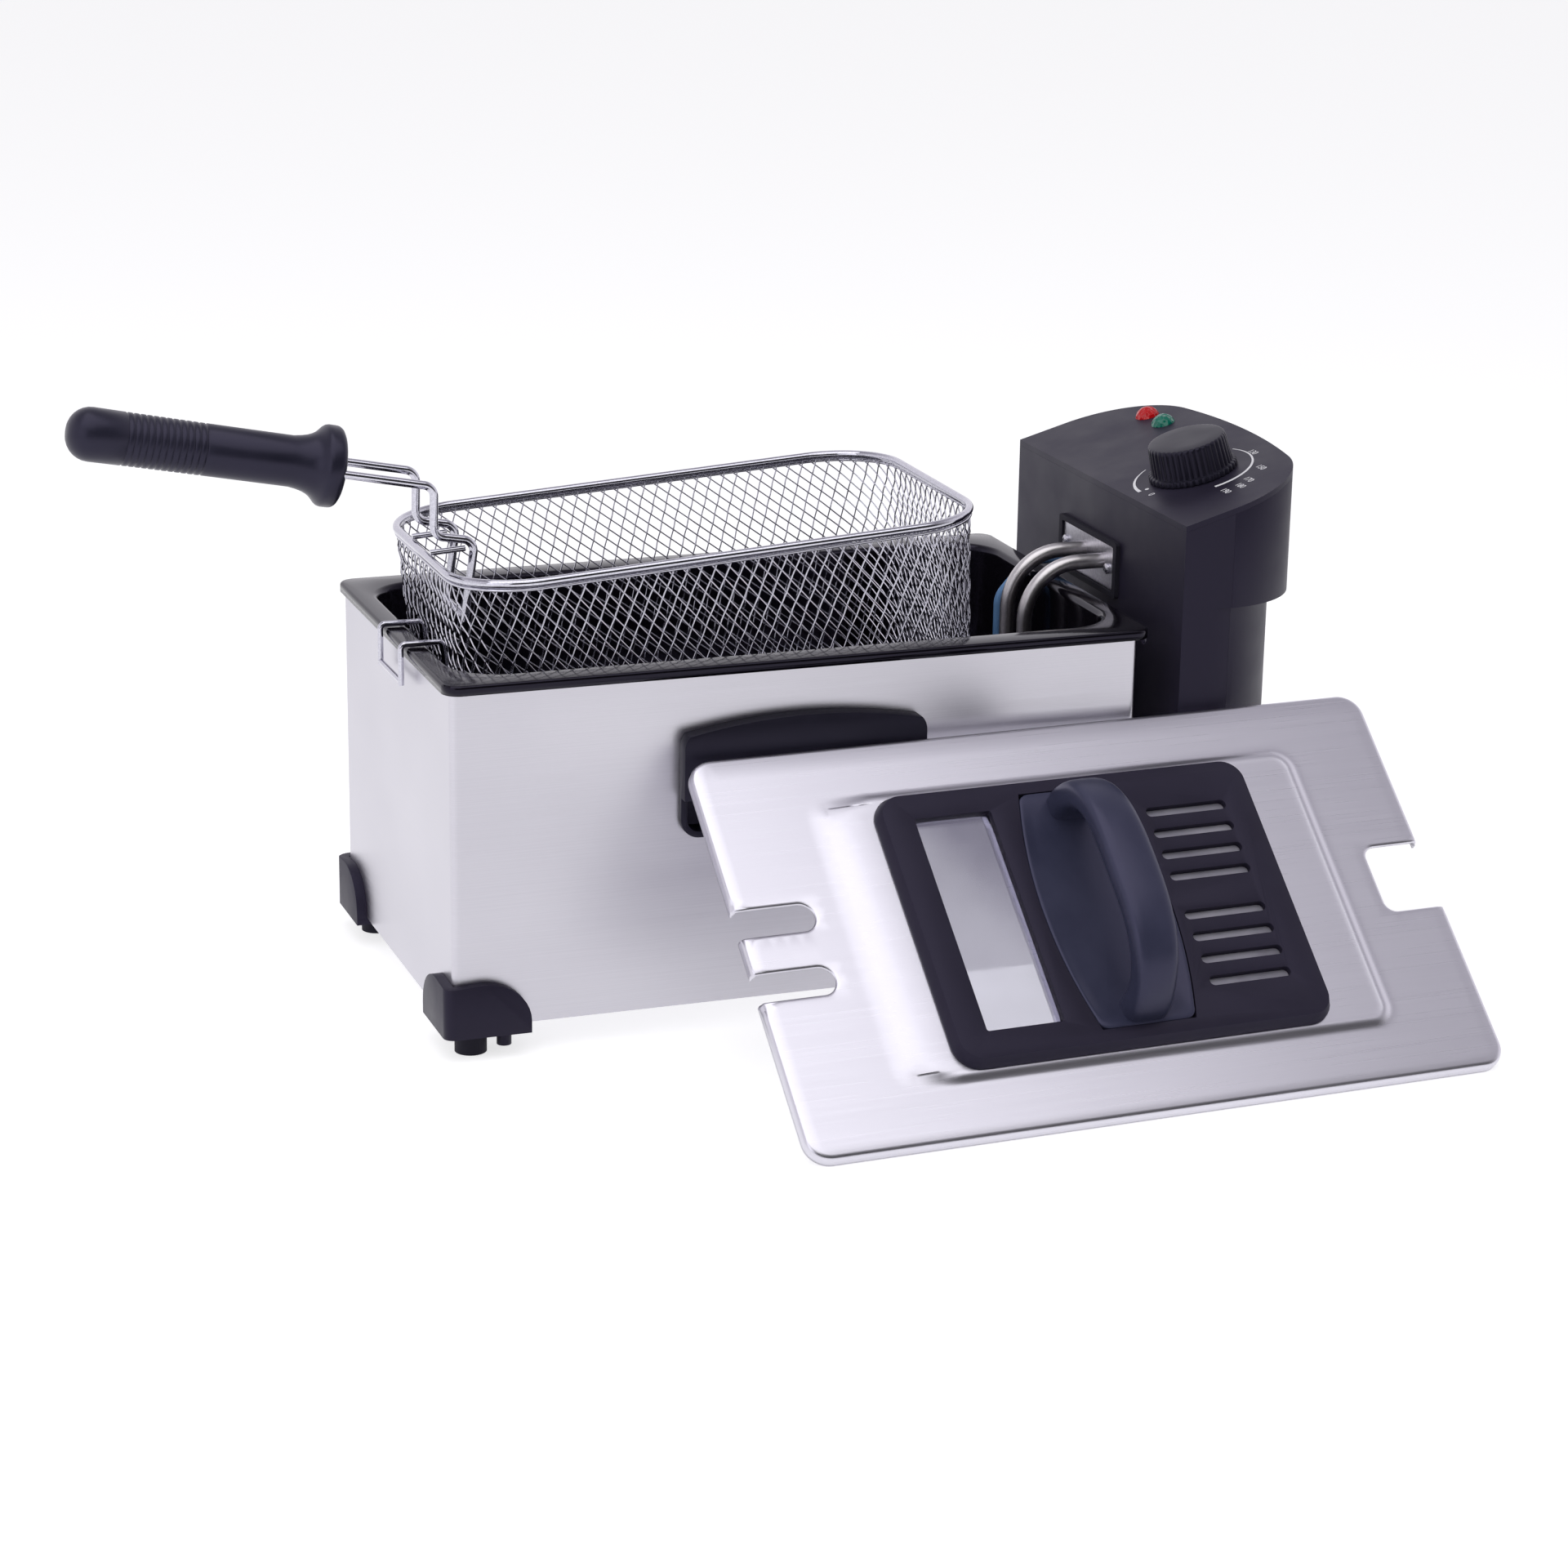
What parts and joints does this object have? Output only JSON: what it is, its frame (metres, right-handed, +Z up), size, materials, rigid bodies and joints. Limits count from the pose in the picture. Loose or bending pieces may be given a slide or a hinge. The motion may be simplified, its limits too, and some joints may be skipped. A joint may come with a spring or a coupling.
{
  "type": "deep fryer",
  "caption": "Domestic deep fryer with a steel housing, lift-out enamelled pot, hanging wire basket, clip-on control unit with immersion element, and a loose lid leaning in front.",
  "frame": {"origin": "centre of the steel housing's footprint, on the plane that the feet stand on", "axes": "+X from the housing towards the control unit, -Y towards the front with the leaning lid, +Z up"},
  "size_m": [0.5267, 0.3297, 0.2541],
  "materials": {
    "steel_brushed": "fine satin brushing along the length",
    "steel_plain": "plain stainless sheet",
    "zinc_screw": "bright zinc plate",
    "plastic_black": "fine matt texture",
    "plastic_satin": "satin black, faintly blue",
    "rubber_black": "matt black",
    "enamel_black": "glossy black vitreous enamel",
    "steel_tube": "satin drawn tube",
    "silicone_blue": "pale blue, slightly translucent",
    "white_parts": "off-white, ceramic bodies and the dial print",
    "phenolic_brown": "brown phenolic",
    "lamp_red": "clear moulded lens, dark red",
    "lamp_green": "clear moulded lens, dark green",
    "button_red": "satin red",
    "chrome_wire": "bright nickel-chrome plated wire",
    "glass_clear": "clear tempered glass",
    "filter_mesh": "dark woven grease filter"
  },
  "bodies": {
    "housing": {"housing_shell": "steel_brushed", "base_plate": "steel_plain", "base_screws": "zinc_screw", "foot_cap_front_left": "plastic_black", "foot_cap_front_right": "plastic_black", "foot_cap_back_left": "plastic_black", "foot_cap_back_right": "plastic_black", "foot_front_left": "rubber_black", "foot_front_right": "rubber_black", "foot_back_left": "rubber_black", "foot_back_right": "rubber_black", "carrying_handle_front": "plastic_black", "carrying_handle_back": "plastic_black", "carrying_handle_screws": "zinc_screw", "control_rail": "plastic_black", "rail_screws": "zinc_screw"},
    "pot": {"inner_pot": "enamel_black"},
    "control_unit": {"control_inner_shell": "plastic_black", "control_outer_shell": "plastic_black", "control_panel": "plastic_black", "control_screws": "zinc_screw", "plate_gasket": "rubber_black", "element_plate": "steel_plain", "plate_screws": "zinc_screw", "heating_element": "steel_tube", "element_straps": "steel_plain", "capillary_sleeve": "silicone_blue", "thermostat_bulb": "steel_tube", "bulb_clip": "steel_plain", "thermostat_body": "white_parts", "thermal_cutout": "phenolic_brown", "terminal_block": "white_parts", "safety_switch": "plastic_black", "cord_inlet": "plastic_black", "lamp_red": "lamp_red", "lamp_green": "lamp_green"},
    "knob": {"knob": "plastic_satin", "knob_shaft": "steel_plain"},
    "reset_button": {"reset_button": "button_red"},
    "basket": {"basket_mesh": "chrome_wire", "basket_rim": "chrome_wire", "basket_hooks": "chrome_wire", "handle_bracket": "chrome_wire"},
    "basket_handle": {"handle_wires": "chrome_wire", "handle_grip": "plastic_satin"},
    "lid": {"lid_panel": "steel_brushed", "lid_frame": "plastic_black", "lid_window": "glass_clear", "lid_handle": "plastic_satin", "lid_filter": "filter_mesh", "filter_cover": "steel_plain", "lid_screws": "zinc_screw"}
  },
  "joints": [
    {"name": "pot_lift", "type": "slide", "parent": "housing", "child": "pot", "axis": [0, 0, 1], "range_m": [0, 0.16]},
    {"name": "control_unit_lift", "type": "slide", "parent": "pot", "child": "control_unit", "axis": [0, 0, 1], "range_m": [0, 0.2]},
    {"name": "knob_turn", "type": "hinge", "parent": "control_unit", "child": "knob", "pos_m": [0.1952, -0.0294, 0.20557], "axis": [0.2756, 0, -0.9613], "range_deg": [0, 270]},
    {"name": "reset_press", "type": "slide", "parent": "control_unit", "child": "reset_button", "axis": [-1, 0, 0], "range_m": [0, 0.002], "stiffness_N_per_m": 400},
    {"name": "basket_lift", "type": "slide", "parent": "control_unit", "child": "basket", "axis": [0, 0, 1], "range_m": [0, 0.2]},
    {"name": "handle_release", "type": "slide", "parent": "basket", "child": "basket_handle", "axis": [0.1359, 0, 0.9907], "range_m": [0, 0.06]},
    {"name": "lid_lift", "type": "slide", "parent": "housing", "child": "lid", "axis": [0, 0, 1], "range_m": [0, 0.2]}
  ]
}
